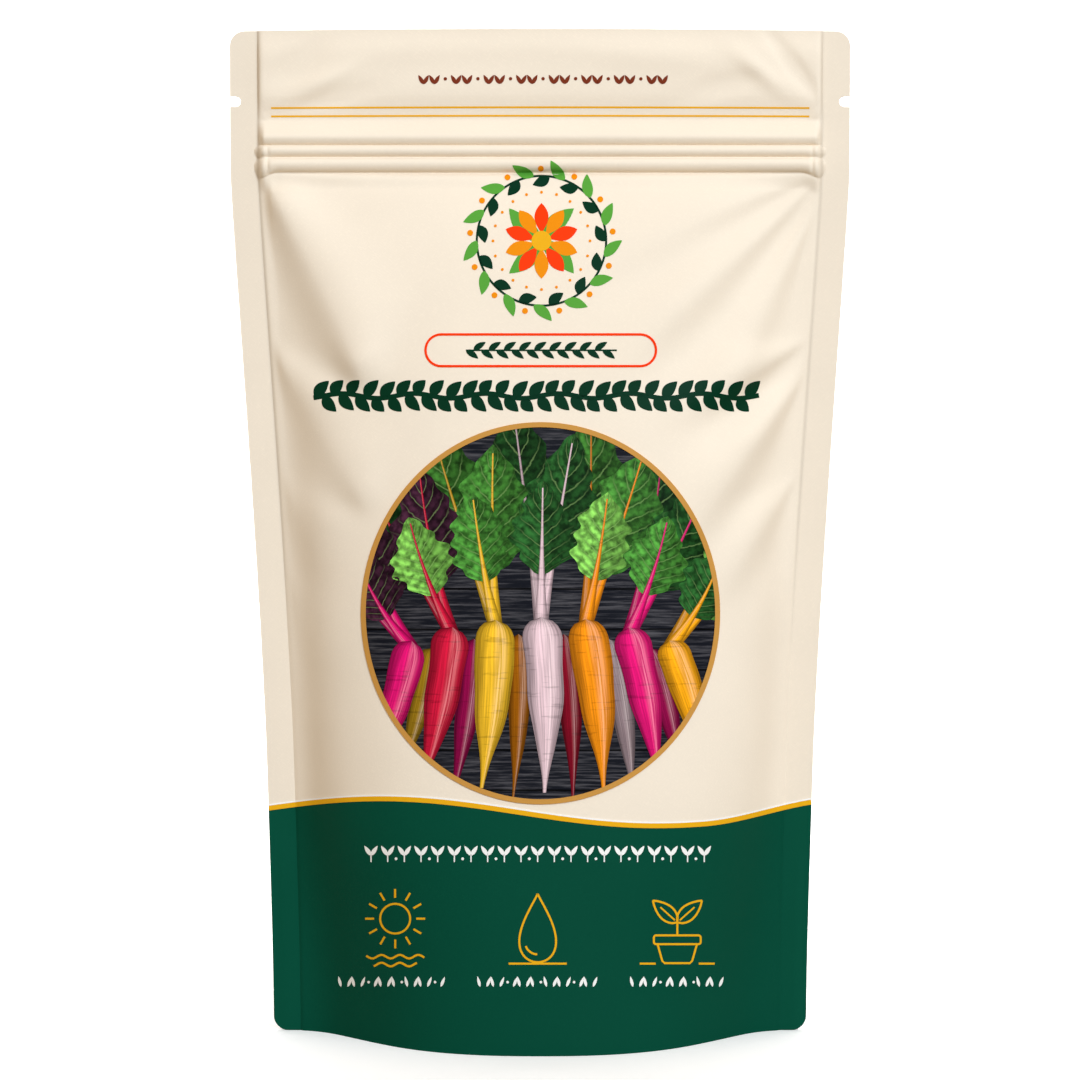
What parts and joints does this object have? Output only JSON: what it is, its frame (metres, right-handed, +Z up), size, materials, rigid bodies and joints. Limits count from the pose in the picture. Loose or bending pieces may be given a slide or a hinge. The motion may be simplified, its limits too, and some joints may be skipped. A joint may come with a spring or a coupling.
{
  "type": "stand-up seed pouch",
  "caption": "Filled stand-up pouch of matte printed film with side seals, tear notches, a press-to-close zip and a folded gusset that spreads its foot.",
  "frame": {"origin": "middle of the pouch's foot, on the surface that it stands on", "axes": "+Z up, X along the pouch's width, front panel on the -Y side, side seals in the plane y = 0"},
  "size_m": [0.13, 0.0518, 0.2123],
  "materials": {
    "printed_film": "satin",
    "green_film": "satin",
    "zip_plastic": "satin",
    "seed_coat": "matte"
  },
  "bodies": {
    "root": {"front_panel": "printed_film", "back_panel": "printed_film", "bottom_gusset": "green_film", "zip_rib_strip": "zip_plastic", "zip_groove_strip": "zip_plastic", "seed_fill": "seed_coat"}
  },
  "joints": []
}
